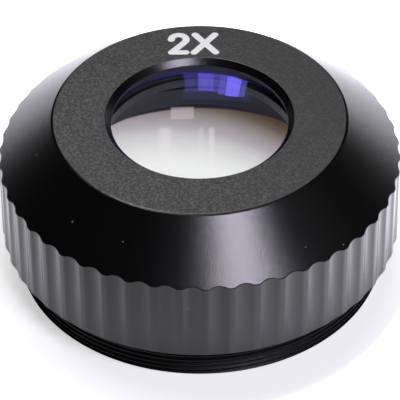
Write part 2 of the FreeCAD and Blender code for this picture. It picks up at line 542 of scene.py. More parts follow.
def leave_edit() -> None:
    """Leave edit mode."""
    bpy.ops.object.mode_set(mode="OBJECT")


def clear_selection() -> None:
    """Leave edit mode and deselect every object."""
    if bpy.context.object and bpy.context.object.mode != "OBJECT":
        leave_edit()
    bpy.ops.object.select_all(action="DESELECT")


def pick(*pieces: Piece) -> None:
    """Select only these pieces, the first one active.

    Args:
        pieces: the pieces.
    """
    clear_selection()
    for piece in pieces:
        piece.select_set(True)
    bpy.context.view_layer.objects.active = pieces[0]


def edit_all(piece: Piece) -> None:
    """Edit a piece with all of its mesh selected.

    Args:
        piece: the piece.
    """
    pick(piece)
    bpy.ops.object.mode_set(mode="EDIT")
    bpy.ops.mesh.select_mode(type="VERT")
    bpy.ops.mesh.select_all(action="SELECT")


def rename(piece: Piece, name: str) -> Piece:
    """Name a piece and its mesh.

    Args:
        piece: the piece.
        name: its new name.

    Returns:
        The same piece.
    """
    piece.name = name
    piece.data.name = name
    return piece


def settle() -> Piece:
    """Write the active object's place, turn and size into its mesh."""
    bpy.ops.object.transform_apply(location=True, rotation=True, scale=True)
    return bpy.context.object


def select_where(piece: Piece, element: Element, test: Test) -> None:
    """In edit mode, select what passes a test on its place and normal.

    Args:
        piece: the piece that is being edited.
        element: whether vertices or faces are selected.
        test: takes a place and a normal, in metres.
    """
    bpy.ops.mesh.select_mode(type=element.value)
    bpy.ops.mesh.select_all(action="DESELECT")
    mesh = bmesh.from_edit_mesh(piece.data)
    if element is Element.VERTEX:
        chosen = [vertex for vertex in mesh.verts if test(vertex.co, vertex.normal)]
    else:
        chosen = [face for face in mesh.faces if test(face.calc_center_median(), face.normal)]
    for part in chosen:
        part.select_set(True)
    mesh.select_flush_mode()
    bmesh.update_edit_mesh(piece.data)


def modify(piece: Piece, kind: str, **settings: object) -> None:
    """Run a modifier on a piece and apply it.

    Args:
        piece: the piece.
        kind: the modifier's type.
        settings: the modifier's properties.
    """
    modifier = piece.modifiers.new("Shape", kind)
    for name, value in settings.items():
        setattr(modifier, name, value)
    pick(piece)
    bpy.ops.object.modifier_apply(modifier=modifier.name)


def combine(piece: Piece, tool: Piece, change: Change) -> None:
    """Join, cut or trim one piece with another, and drop the other.

    Args:
        piece: the piece that is changed.
        tool: the piece that is used up.
        change: what the tool does.
    """
    modify(piece, "BOOLEAN", operation=change.value, solver="EXACT", object=tool)
    bpy.data.objects.remove(tool)


def close_up(piece: Piece) -> Piece:
    """Merge a piece's doubles and turn its faces outwards.

    Args:
        piece: the piece.

    Returns:
        The same piece, out of edit mode.
    """
    edit_all(piece)
    bpy.ops.mesh.remove_doubles(threshold=MERGE_DISTANCE)
    bpy.ops.mesh.normals_make_consistent(inside=False)
    leave_edit()
    return piece


def smooth(piece: Piece, limit: float = 32.0) -> None:
    """Shade smoothly across edges that are less sharp than the limit."""
    pick(piece)
    bpy.ops.object.shade_smooth_by_angle(angle=math.radians(limit))


def lay_section(name: str, points: Sequence[Point], start: float, closed: bool) -> Piece:
    """Draw a half section beside the optical axis, from one vertex that is extruded on.

    Args:
        name: the piece's name.
        points: distances from the axis and heights, in millimetres.
        start: the angle round the axis at which the section lies.
        closed: whether the last point is joined to the first.

    Returns:
        The piece, in edit mode with its whole section selected.
    """
    clear_selection()
    bpy.ops.mesh.primitive_plane_add(size=MM, location=NOWHERE)
    piece = rename(bpy.context.object, name)
    edit_all(piece)
    bpy.ops.mesh.merge(type="CENTER")
    across, along = math.cos(math.radians(start)), math.sin(math.radians(start))
    places = [Vector((reach * across, reach * along, height)) * MM for reach, height in points]
    bpy.ops.transform.translate(value=places[0])
    for here, beyond in zip(places, places[1:]):
        bpy.ops.mesh.extrude_vertices_move(TRANSFORM_OT_translate={"value": beyond - here})
    if closed:
        ends = (places[0], places[-1])
        select_where(
            piece,
            Element.VERTEX,
            lambda place, normal: min((place - end).length for end in ends) < MERGE_DISTANCE,
        )
        bpy.ops.mesh.edge_face_add()
    bpy.ops.mesh.select_all(action="SELECT")
    return piece


def turn_section(
    name: str, points: Sequence[Point], steps: int, start: float = 0.0, closed: bool = True
) -> Piece:
    """Turn a half section round the optical axis, as on a lathe.

    Args:
        name: the piece's name.
        points: distances from the axis and heights, in millimetres.
        steps: how many steps one turn has.
        start: the angle at which the section is drawn.
        closed: whether the section is a closed loop away from the axis.

    Returns:
        The turned piece.
    """
    piece = lay_section(name, points, start, closed)
    leave_edit()
    counts = {"steps": steps, "render_steps": steps}
    merging = {"use_merge_vertices": True, "merge_threshold": MERGE_DISTANCE}
    modify(piece, "SCREW", axis="Z", **counts, **merging)
    return close_up(piece)


@dataclass(frozen=True)
class Corner:
    """A corner of a turned section, and how far back from it the edge is broken."""

    reach: float
    height: float
    broken: float = 0.0

    def way_to(self, other: "Corner") -> Vector:
        """Direction to another corner."""
        return Vector((other.reach - self.reach, other.height - self.height)).normalized()


def soften(corners: Sequence[Corner], support: float = 0.05, bends: int = 3) -> list[Point]:
    """Points of a closed section whose broken edges are rounded, with a close row on each side.

    Args:
        corners: the section's corners in order.
        support: how far the close rows stand from the rounding, in millimetres.
        bends: how many steps a rounding has.

    Returns:
        The section's points.
    """
    points: list[Point] = []
    for number, corner in enumerate(corners):
        here = Vector((corner.reach, corner.height))
        if corner.broken == 0.0:
            points.append(tuple(here))
            continue
        back = corner.way_to(corners[number - 1])
        on = corner.way_to(corners[(number + 1) % len(corners)])
        points.append(tuple(here + back * (corner.broken + support)))
        for bend in range(bends + 1):
            share = bend / bends
            pulled = back * (1.0 - share) ** 2 + on * share**2
            points.append(tuple(here + pulled * corner.broken))
        points.append(tuple(here + on * (corner.broken + support)))
    return points


def sag(radius: float, reach: float) -> float:
    """Depth of a sphere's surface under its top, at a distance from its axis."""
    return radius - math.sqrt(radius * radius - reach * reach)


def dished(apex: float, radius: float, reach: float, rows: int) -> list[Point]:
    """Points along a polished surface, from the axis to its rim.

    Args:
        apex: the height of the surface on the axis.
        radius: its radius, negative where it is hollow upwards.
        reach: the distance of its rim from the axis.
        rows: how many steps there are.

    Returns:
        The points.
    """
    reaches = [reach * row / rows for row in range(rows + 1)]
    side = math.copysign(1.0, radius)
    return [(spot, apex - side * sag(abs(radius), spot)) for spot in reaches]


def flat_back(reach: float, height: float, bevel: float) -> list[Point]:
    """Points of a lens's flat back, from its bevelled edge to the axis."""
    return [(reach, height + bevel), (reach - bevel, height), (reach / 2, height), (0.0, height)]


def axis_reach(place: Vector) -> float:
    """Distance from the optical axis, in millimetres."""
    return math.hypot(place.x, place.y) / MM


def on_rim(place: Vector, normal: Vector) -> bool:
    """Whether a face of a lens lies on its ground edge."""
    return abs(normal.z) < LEVEL


def dress(piece: Piece, material: bpy.types.Material, test: Test | None = None) -> None:
    """Give a finish to a piece, or to those of its faces that pass a test.

    Args:
        piece: the piece.
        material: the finish.
        test: takes a face's middle and normal, in metres; without it the whole piece is dressed.
    """
    piece.data.materials.append(material)
    if test is None:
        return
    edit_all(piece)
    select_where(piece, Element.FACE, test)
    piece.active_material_index = len(piece.data.materials) - 1
    bpy.ops.object.material_slot_assign()
    leave_edit()


def hand_over(piece: Piece, slot: Slot, *nodes: str) -> None:
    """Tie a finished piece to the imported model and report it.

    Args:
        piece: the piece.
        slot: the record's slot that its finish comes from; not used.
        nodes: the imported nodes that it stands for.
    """
    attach(piece, BODY)
    if nodes:
        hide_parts(*nodes)
    piece.data.calc_loop_triangles()
    log.info("%s: %d triangles", piece.name, len(piece.data.loop_triangles))


# The object


@dataclass
class MountingThread:
    """Helical male thread, 48 mm across with a pitch of 0.75 mm."""

    root: float = 23.54
    crest: float = 24.0
    buried: float = 23.38
    pitch: float = 0.75
    turns: int = 7
    steps: int = 360
    front_crest: float = 0.08
    lead: float = 0.10
    end: float = 4.1
    relief: float = 23.2
    foot: float = 0.001
    sunk: float = 0.15
    spare: float = 0.02
    envelope_steps: int = 180
    tooth: tuple[Point, ...] = ((0.0, -0.3125), (0.46, -0.047), (0.46, 0.047), (0.0, 0.3125))

    def build(self) -> Piece:
        """Screw one tooth round the axis and trim it to the lead-in and the run-out.

        Returns:
            The thread's ridge, its foot buried in the core.
        """
        low = self.front_crest - self.pitch
        points = [(self.root + out, low + up) for out, up in self.tooth]
        points += [(self.buried, points[-1][1]), (self.buried, points[0][1])]
        ridge = lay_section("thread_ridge", points, FRONT, closed=True)
        leave_edit()
        modify(
            ridge,
            "SCREW",
            axis="Z",
            screw_offset=self.pitch * MM,
            iterations=self.turns,
            steps=self.steps,
            render_steps=self.steps,
            use_merge_vertices=False,
        )
        edit_all(ridge)
        bpy.ops.mesh.fill_holes(sides=len(points))
        close_up(ridge)
        combine(ridge, self._envelope(), Change.TRIM)
        smooth(ridge, 25.0)
        return ridge

    def _envelope(self) -> Piece:
        """The ring of space that the finished thread fills.

        Returns:
            A closed ring that the ridge is cut to.
        """
        inner, outer = self.buried - self.sunk, self.crest + self.spare
        run_out = self.end - (self.crest - self.relief)
        points = [
            (inner, self.foot),
            (self.crest - self.lead, self.foot),
            (outer, self.lead + self.spare),
            (outer, run_out - self.spare),
            (inner, run_out + self.crest - inner),
        ]
        return turn_section("thread_envelope", points, self.envelope_steps)


@dataclass
class MagnificationMark:
    """The engraved 2X and the white paint in it."""

    stroke: float = 0.95
    depth: float = 0.22
    cutter_above: float = 0.5
    paint_below: float = 0.035
    paint_gap: float = 0.005
    facets: int = 32
    hook: Point = (-3.66, 15.97)
    bowl: Point = (-2.68, 15.97)
    bowl_turn: float = 222.0
    bowl_steps: int = 26
    foot_left: Point = (-3.63, 13.25)
    foot_right: Point = (-1.74, 13.25)
    cross: tuple[tuple[Point, Point], ...] = (
        ((-0.52, 16.98), (2.18, 13.23)),
        ((-0.66, 13.21), (2.10, 16.98)),
    )
    spare: float = 0.2

    def build(self, top: float, bottom: float, name: str) -> Piece:
        """Make the mark's strokes as upright prisms.

        The strokes that are joined have different heights first, and are then trimmed to one.

        Args:
            top: the height of their tops.
            bottom: the height of their feet.
            name: the piece's name.

        Returns:
            The piece, both characters in one mesh.
        """
        two = self._bowl_stroke()
        foot = self._straight_stroke(self.foot_left, self.foot_right, self.spare)
        combine(two, foot, Change.JOIN)
        letter = self._straight_stroke(*self.cross[0], 2.0 * self.spare)
        combine(letter, self._straight_stroke(*self.cross[1], self.spare), Change.JOIN)
        pick(two, letter)
        bpy.ops.object.join()
        mark = rename(two, name)
        edit_all(mark)
        for level, up in ((0.0, -1.0), (MM, 1.0)):
            bpy.ops.mesh.select_all(action="SELECT")
            bpy.ops.mesh.bisect(
                plane_co=(0.0, 0.0, level), plane_no=(0.0, 0.0, up), use_fill=True, clear_outer=True
            )
        bpy.ops.mesh.select_all(action="SELECT")
        bpy.ops.transform.resize(value=(1.0, 1.0, top - bottom), center_override=NOWHERE)
        bpy.ops.transform.translate(value=(0.0, 0.0, bottom * MM))
        leave_edit()
        return mark

    def _start(self, place: Point, heading: float) -> Piece:
        """A stroke's round start, its leading half selected in edit mode.

        Args:
            place: the middle of the round.
            heading: the way the stroke goes, in radians.

        Returns:
            The stroke.
        """
        clear_selection()
        spot = Vector((*place, 0.0)) * MM
        bpy.ops.mesh.primitive_circle_add(
            vertices=self.facets,
            radius=self.stroke / 2 * MM,
            fill_type="NGON",
            location=spot,
            rotation=(0.0, 0.0, heading),
        )
        piece = settle()
        edit_all(piece)
        ahead = Vector((math.cos(heading), math.sin(heading), 0.0))
        select_where(
            piece, Element.VERTEX, lambda at, normal: (at - spot).dot(ahead) > -MERGE_DISTANCE
        )
        return piece

    def _end(self, piece: Piece, way: Vector, spare: float) -> Piece:
        """Draw a stroke on to its end and make it a prism.

        Args:
            piece: the stroke, in edit mode with its leading edge selected.
            way: how far it still goes, in millimetres.
            spare: how far the prism reaches beyond one millimetre of height at both ends.

        Returns:
            The stroke.
        """
        bpy.ops.mesh.extrude_edges_move(TRANSFORM_OT_translate={"value": way * MM})
        bpy.ops.mesh.select_all(action="SELECT")
        bpy.ops.mesh.remove_doubles(threshold=MERGE_DISTANCE)
        bpy.ops.mesh.dissolve_limited(angle_limit=math.radians(0.5))
        bpy.ops.transform.translate(value=(0.0, 0.0, -spare * MM))
        whole = (1.0 + 2.0 * spare) * MM
        bpy.ops.mesh.extrude_region_move(TRANSFORM_OT_translate={"value": (0.0, 0.0, whole)})
        return close_up(piece)

    def _straight_stroke(self, first: Point, last: Point, spare: float) -> Piece:
        """A straight stroke with round ends."""
        way = Vector((last[0] - first[0], last[1] - first[1], 0.0))
        return self._end(self._start(first, math.atan2(way.y, way.x)), way, spare)

    def _bowl_stroke(self) -> Piece:
        """The numeral's hook, bowl and diagonal in one stroke.

        Returns:
            The stroke.
        """
        piece = self._start(self.hook, math.pi / 2)
        centre = Vector((*self.bowl, 0.0))
        turn = math.radians(self.bowl_turn)
        bpy.ops.mesh.spin(
            steps=self.bowl_steps, angle=turn, center=centre * MM, axis=(0.0, 0.0, 1.0)
        )
        reach = self.bowl[0] - self.hook[0]
        leaves = centre + Vector((math.cos(math.pi - turn), math.sin(math.pi - turn), 0.0)) * reach
        return self._end(piece, Vector((*self.foot_left, 0.0)) - leaves, 2.0 * self.spare)


@dataclass
class Housing:
    """One-piece turned housing: nose, fluted grip, thread, mouth, seat and bores."""

    height: float = 22.67
    grip_reach: float = 26.03
    grip_base: float = 5.08
    grip_top: float = 16.41
    grip_break: float = 0.30
    grip_rows: tuple[float, ...] = (0.60, 0.12, 0.04)
    foot_row: float = 0.06
    foot_slope: float = 0.9
    nose_reach: float = 18.93
    nose_break: float = 0.15
    mouth_reach: float = 11.4
    mouth_chamfer: float = 0.75
    lip: float = 21.51
    front_bore: float = 13.05
    seat: float = 21.307
    shoulder: float = 14.909
    rear_bore: float = 20.05
    ring_bore: float = 21.0
    ring_bore_end: float = 5.32
    end_chamfer: float = 0.5
    flutes: int = 50
    flute_steps: int = 20
    flute_depth: float = 0.30
    flute_radius: float = 2.8
    flute_phase: float = 1.3
    flute_blend: float = 0.09
    shoulder_row: float = 24.6
    cone_start: float = 25.3
    fluted_from: float = 25.6
    groove_top: float = 1.95
    groove_pitch: float = 0.5
    groove_depth: float = 0.22
    grooves: int = 3
    thread: MountingThread = field(default_factory=MountingThread)
    mark: MagnificationMark = field(default_factory=MagnificationMark)

    @property
    def slope(self) -> float:
        """Height that the cone gains for each millimetre towards the axis."""
        return (self.height - self.grip_top) / (self.grip_reach - self.nose_reach)

    @property
    def flute_step(self) -> float:
        """Angle of one step round the grip, in radians."""
        return math.tau / (self.flutes * self.flute_steps)

    def steps_off(self, place: Vector) -> int:
        """How many steps a place lies from the middle of its flute."""
        angle = math.atan2(place.y, place.x) - math.radians(self.flute_phase)
        off = round(angle / self.flute_step) % self.flute_steps
        return min(off, self.flute_steps - off)

    def on_cone(self, reach: float, broken: float = 0.0) -> Corner:
        """The cone's corner at a distance from the axis."""
        return Corner(reach, self.grip_top + (self.grip_reach - reach) * self.slope, broken)

    def grip_edge(self, angle: float) -> float:
        """Distance from the axis to the fluted grip.

        Args:
            angle: the angle from the middle of a flute, in radians.

        Returns:
            The distance, with the corner between flute and land rounded.
        """
        away = self.grip_reach - self.flute_depth + self.flute_radius
        under = self.flute_radius**2 - (away * math.sin(angle)) ** 2
        if under <= 0.0:
            return self.grip_reach
        flute = away * math.cos(angle) - math.sqrt(under)
        near = max(self.flute_blend - abs(flute - self.grip_reach), 0.0) / self.flute_blend
        return min(flute, self.grip_reach) - near * near * self.flute_blend / 4.0

    def section(self) -> list[Point]:
        """The half section, from the thread end up the outside and down the bores.

        Returns:
            The section's points.
        """
        thread = self.thread
        edge, foot = self.grip_reach, self.grip_base + self.grip_break
        corners = [
            Corner(self.ring_bore + self.end_chamfer, 0.0),
            Corner(thread.root, 0.0, 0.04),
            Corner(thread.root, thread.end - (thread.root - thread.relief)),
            Corner(thread.relief, thread.end),
            Corner(thread.relief, self.grip_base),
            Corner(self.shoulder_row, self.grip_base),
            Corner(edge - self.grip_break, self.grip_base),
            Corner(edge, foot),
            Corner(edge, foot + self.foot_row),
            *(Corner(edge, self.grip_top - below) for below in self.grip_rows),
            *(self.on_cone(edge - inside) for inside in self.grip_rows[:0:-1]),
            self.on_cone(self.cone_start),
            self.on_cone(self.nose_reach + self.nose_break, 0.05),
            Corner(self.nose_reach - self.nose_break, self.height, 0.05),
            Corner(self.mouth_reach + self.mouth_chamfer, self.height, 0.07),
            Corner(self.mouth_reach, self.height - self.mouth_chamfer, 0.04),
            Corner(self.mouth_reach, self.lip, 0.03),
            Corner(self.front_bore, self.seat),
            Corner(self.front_bore, self.shoulder),
            Corner(self.rear_bore, self.shoulder),
            Corner(self.rear_bore, self.ring_bore_end),
            Corner(self.ring_bore, self.ring_bore_end),
        ]
        for number in range(self.grooves):
            top = self.groove_top - number * self.groove_pitch
            for out, down in ((0.0, 0.0), (self.groove_depth, 0.45), (0.0, 0.9)):
                corners.append(Corner(self.ring_bore + out, top - self.groove_pitch * down))
        return soften([*corners, Corner(self.ring_bore, self.end_chamfer)])

    def build(self) -> Piece:
        """Turn, flute, thread and engrave the housing.

        Returns:
            The finished housing without its material.
        """
        steps = self.flutes * self.flute_steps
        body = turn_section("housing_body", self.section(), steps, start=self.flute_phase)
        self._cut_flutes(body)
        mark = self.mark
        above = self.height + mark.cutter_above
        cutter = mark.build(above, self.height - mark.depth, "mark_cutter")
        combine(body, cutter, Change.CUT)
        smooth(body)
        pick(body, self.thread.build())
        bpy.ops.object.join()
        return body

    def _cut_flutes(self, body: Piece) -> None:
        """Draw the grip in to its flutes, one angle at a time.

        The upper edge rises up the cone as it is drawn in, and the lower one sinks along its
        chamfer.

        Args:
            body: the turned housing.
        """
        # Heights that tell the grip's rows of vertices apart
        low = (self.grip_base + 0.01) * MM
        foot = (self.grip_base + self.grip_break + 0.1) * MM
        top = (self.grip_top - 0.3) * MM
        edit_all(body)
        for turn in range(self.flute_steps // 2 + 1):
            drawn = self.grip_edge(turn * self.flute_step)
            if drawn >= self.grip_reach:
                continue

            def along_flute(place: Vector, normal: Vector) -> bool:
                """Whether a place on the grip lies at this angle from a flute's middle."""
                fluted = axis_reach(place) > self.fluted_from and place.z > low
                return fluted and self.steps_off(place) == turn

            def edge_rows(place: Vector, normal: Vector) -> bool:
                """Whether a place also lies on the grip's upper edge."""
                return place.z > top and along_flute(place, normal)

            def foot_rows(place: Vector, normal: Vector) -> bool:
                """Whether a place also lies on the grip's lower edge."""
                return place.z < foot and along_flute(place, normal)

            depth = self.grip_reach - drawn
            for chosen, rise in ((edge_rows, self.slope), (foot_rows, -self.foot_slope)):
                select_where(body, Element.VERTEX, chosen)
                bpy.ops.transform.translate(value=(0.0, 0.0, depth * rise * MM))
            select_where(body, Element.VERTEX, along_flute)
            narrow = drawn / self.grip_reach
            bpy.ops.transform.resize(value=(narrow, narrow, 1.0), center_override=NOWHERE)
        leave_edit()

    def finish(self, body: Piece, finishes: Sequence[bpy.types.Material]) -> None:
        """Give the housing its finishes.

        Args:
            body: the housing.
            finishes: those of the cone and thread, the grip, the flat face and the bores.
        """
        outside, gripped, blasted, inside = finishes
        # Limits between the bores and the rest
        front, mouth = self.front_bore + 0.1, self.height - self.mouth_chamfer - 0.02
        rear, shoulder = self.ring_bore + self.groove_depth + 0.1, self.shoulder + 0.1

        def in_bore(place: Vector, normal: Vector) -> bool:
            """Whether a face belongs to the bores behind the mouth."""
            reach, rise = axis_reach(place), place.z / MM
            return (reach < front and rise < mouth) or (reach < rear and 0.3 < rise < shoulder)

        def on_face(place: Vector, normal: Vector) -> bool:
            """Whether a face belongs to the flat round the mouth."""
            return place.z > (self.height - 0.01) * MM and normal.z > LEVEL

        def on_grip(place: Vector, normal: Vector) -> bool:
            """Whether a face belongs to the fluted grip."""
            return axis_reach(place) > self.fluted_from and abs(normal.z) < UPRIGHT

        dress(body, outside)
        dress(body, gripped, on_grip)
        dress(body, blasted, on_face)
        dress(body, inside, in_bore)
        hand_over(body, Slot.ANODISED, "housing")

    def paint(self, finish: bpy.types.Material) -> None:
        """Fill the engraving with paint, as a piece of its own.

        Args:
            finish: the paint.
        """
        mark = self.mark
        bottom = self.height - mark.depth + mark.paint_gap
        fill = mark.build(self.height - mark.paint_below, bottom, "mark_paint")
        smooth(fill)
        dress(fill, finish)
        hand_over(fill, Slot.PAINT)


@dataclass
class FrontDoublet:
    """The cemented pair of lenses behind the mouth."""

    reach: float = 13.0
    front_radius: float = 100.0
    cement_radius: float = 60.0
    crown_apex: float = 22.1587
    cement_apex: float = 17.1587
    cement: float = 0.01
    back: float = 15.1587
    bevel: float = 0.25
    crown_index: float = 1.517
    flint_index: float = 1.62
    rows: int = 56
    steps: int = 256

    def build_crown(self) -> Piece:
        """Front element, convex on both sides.

        Returns:
            The element.
        """
        front = dished(self.crown_apex, self.front_radius, self.reach, self.rows)
        rear = dished(self.cement_apex, -self.cement_radius, self.reach, self.rows)
        return turn_section("front_crown_glass", front + rear[::-1], self.steps, closed=False)

    def build_flint(self) -> Piece:
        """Rear element, hollow towards the crown and flat behind.

        Returns:
            The element.
        """
        apex = self.cement_apex - self.cement
        front = dished(apex, -self.cement_radius, self.reach, self.rows)
        rear = flat_back(self.reach, self.back, self.bevel)
        return turn_section("front_flint_glass", front + rear, self.steps, closed=False)

    def finish(
        self, crown: Piece, flint: Piece, glass: bpy.types.Material, edge: bpy.types.Material
    ) -> None:
        """Give both elements their polished, cemented and blacked faces.

        Args:
            crown: the front element.
            flint: the rear element.
            glass: the finish of coated crown glass.
            edge: the finish of the blacked edges.
        """
        straight = JointFinish("cemented_crown_face").make()
        bent = JointFinish("cemented_flint_face", index=self.flint_index / self.crown_index).make()
        flint_glass = CoatedGlassFinish("flint_glass_face", index=self.flint_index).make()
        joint_top = (self.cement_apex + sag(self.cement_radius, self.reach) + 1.0) * MM

        def in_joint(place: Vector, normal: Vector) -> bool:
            """Whether a face lies in the cemented joint."""
            curve = self.cement_apex + sag(self.cement_radius, min(axis_reach(place), self.reach))
            return place.z < joint_top and abs(place.z / MM - curve) < 0.02

        for piece, polished, cemented, slot, node in (
            (crown, glass, straight, Slot.COATED_GLASS, "front_crown_lens"),
            (flint, flint_glass, bent, Slot.FLINT_GLASS, "front_flint_lens"),
        ):
            smooth(piece)
            dress(piece, polished)
            dress(piece, cemented, in_joint)
            dress(piece, edge, on_rim)
            hand_over(piece, slot, node)


@dataclass
class RearGroup:
    """The spacer, the large rear lens and the ring that clamps the stack."""

    lens_reach: float = 20.0
    lens_radius: float = 130.0
    lens_apex: float = 10.2196
    lens_back: float = 5.02
    bevel: float = 0.25
    spacer_front: float = 12.2
    spacer_pilot: float = 12.95
    spacer_top: float = 15.1587
    web_top: float = 14.8087
    web_bottom: float = 13.8087
    spacer_bore: float = 18.7
    spacer_rim: float = 19.95
    spacer_foot_inner: float = 8.8697
    spacer_foot_outer: float = 8.6817
    ring_reach: float = 20.95
    ring_bore: float = 19.0
    ring_back: float = 1.52
    ring_break: float = 0.3
    groove_start: float = 0.45
    groove_pitch: float = 0.55
    groove_depth: float = 0.2
    grooves: int = 5
    slot_width: float = 1.6
    slot_depth: float = 1.2
    slot_break: float = 0.15
    rows: int = 64
    steps: int = 256

    def build_lens(self) -> Piece:
        """Large lens, convex towards the front and flat behind.

        Returns:
            The lens.
        """
        front = dished(self.lens_apex, self.lens_radius, self.lens_reach, self.rows)
        rear = flat_back(self.lens_reach, self.lens_back, self.bevel)
        return turn_section("rear_glass", front + rear, self.steps, closed=False)

    def build_spacer(self) -> Piece:
        """Cup-shaped spacer between the two groups.

        Returns:
            The spacer.
        """
        corners = [
            Corner(self.spacer_front, self.spacer_top, 0.03),
            Corner(self.spacer_front, self.web_bottom, 0.08),
            Corner(self.spacer_bore, self.web_bottom),
            Corner(self.spacer_bore, self.spacer_foot_inner, 0.04),
            Corner(self.spacer_rim, self.spacer_foot_outer, 0.04),
            Corner(self.spacer_rim, self.web_top, 0.10),
            Corner(self.spacer_pilot, self.web_top),
            Corner(self.spacer_pilot, self.spacer_top, 0.03),
        ]
        return turn_section("spacer_cup", soften(corners), self.steps)

    def build_ring(self) -> Piece:
        """Retaining ring with its outer thread's grooves and two spanner slots.

        Returns:
            The ring.
        """
        edge = self.ring_break
        corners = [
            Corner(self.ring_bore + edge, self.ring_back, 0.04),
            Corner(self.ring_reach - edge, self.ring_back, 0.04),
            Corner(self.ring_reach, self.ring_back + edge),
        ]
        for number in range(self.grooves):
            low = self.ring_back + self.groove_start + number * self.groove_pitch
            for inside, up in ((0.0, 0.0), (self.groove_depth, 0.25), (0.0, 0.5)):
                corners.append(Corner(self.ring_reach - inside, low + up))
        corners += [
            Corner(self.ring_reach, self.lens_back, 0.05),
            Corner(self.ring_bore, self.lens_back, 0.04),
            Corner(self.ring_bore, self.ring_back + edge, 0.04),
        ]
        ring = turn_section("clamp_ring", soften(corners), self.steps)
        for side in (-1.0, 1.0):
            combine(ring, self._slot_cutter(side), Change.CUT)
        return ring

    def _slot_cutter(self, side: float) -> Piece:
        """Block that cuts one spanner slot, its far edges rounded.

        Args:
            side: 1 for the slot on the right, -1 for the one on the left.

        Returns:
            The block.
        """
        clear_selection()
        middle = side * (self.ring_reach + self.ring_bore) / 2
        bpy.ops.mesh.primitive_cube_add(size=MM, location=(middle * MM, 0.0, self.ring_back * MM))
        block = bpy.context.object
        edit_all(block)
        spread = (4.0, self.slot_width, 2.0 * self.slot_depth)
        bpy.ops.transform.resize(value=spread, center_override=block.location)
        deep = self.slot_depth / 2 * MM
        select_where(block, Element.FACE, lambda place, normal: place.z > deep)
        bpy.ops.mesh.bevel(offset=self.slot_break * MM, segments=2)
        leave_edit()
        return settle()

    def finish(
        self,
        lens: Piece,
        metal: Sequence[tuple[Piece, str]],
        glass: bpy.types.Material,
        edge: bpy.types.Material,
        inside: bpy.types.Material,
    ) -> None:
        """Give the rear lens its glass and blacked edge, and the metal its matt black.

        Args:
            lens: the rear lens.
            metal: the metal pieces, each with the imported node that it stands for.
            glass: the finish of coated crown glass.
            edge: the finish of the blacked edges.
            inside: the finish of the metal.
        """
        smooth(lens)
        dress(lens, glass)
        dress(lens, edge, on_rim)
        hand_over(lens, Slot.COATED_GLASS, "rear_lens")
        for piece, node in metal:
            smooth(piece)
            dress(piece, inside)
            hand_over(piece, Slot.INNER, node)


# The studio


@dataclass(frozen=True)
class Softbox:
    """A flat lamp that faces the object from a direction.

    The azimuth is counted from the camera's side to the right.
    """

    name: str
    azimuth: float
    elevation: float
    distance: float
    width: float
    height: float
    radiance: float
    tint: Colour = WHITE
    aim_height: float = 0.015

    def build(self) -> None:
        """Hang the lamp, its long side level."""
        turn, rise = math.radians(self.azimuth), math.radians(self.elevation)
        level = math.cos(rise)
        toward = Vector((math.sin(turn) * level, -math.cos(turn) * level, math.sin(rise)))
        light = bpy.data.lights.new(self.name, "AREA")
        light.shape = "RECTANGLE"
        light.size = self.width
        light.size_y = self.height
        light.energy = self.radiance * self.width * self.height * math.pi
        light.color = self.tint
        lamp = bpy.data.objects.new(self.name, light)
        lamp.location = toward * self.distance + Vector((0.0, 0.0, self.aim_height))
        lamp.rotation_euler = toward.to_track_quat("Z", "Y").to_euler()
        bpy.context.scene.collection.objects.link(lamp)


@dataclass(frozen=True)
class ThrownPane:
    """A window pane's image that the lenses throw on the floor, in millimetres from the axis."""

    left: float
    right: float
    front: float
    back: float
    share: float
    tint: Colour = (1.0, 0.96, 1.0)
    soft: float = 0.12

    def cover(self, across: Signal, along: Signal) -> Signal:
        """How much of the image lies on each place.

        Args:
            across: the place's distance to the right.
            along: the place's distance to the back.

        Returns:
            A signal from 0 to the image's share.
        """
        edges = []
        for way, low, high in ((across, self.left, self.right), (along, self.front, self.back)):
            edges.append(way.eased(low - self.soft, low + self.soft))
            edges.append(way.eased(high + self.soft, high - self.soft))
        return edges[0] * edges[1] * (edges[2] * edges[3]) * self.share


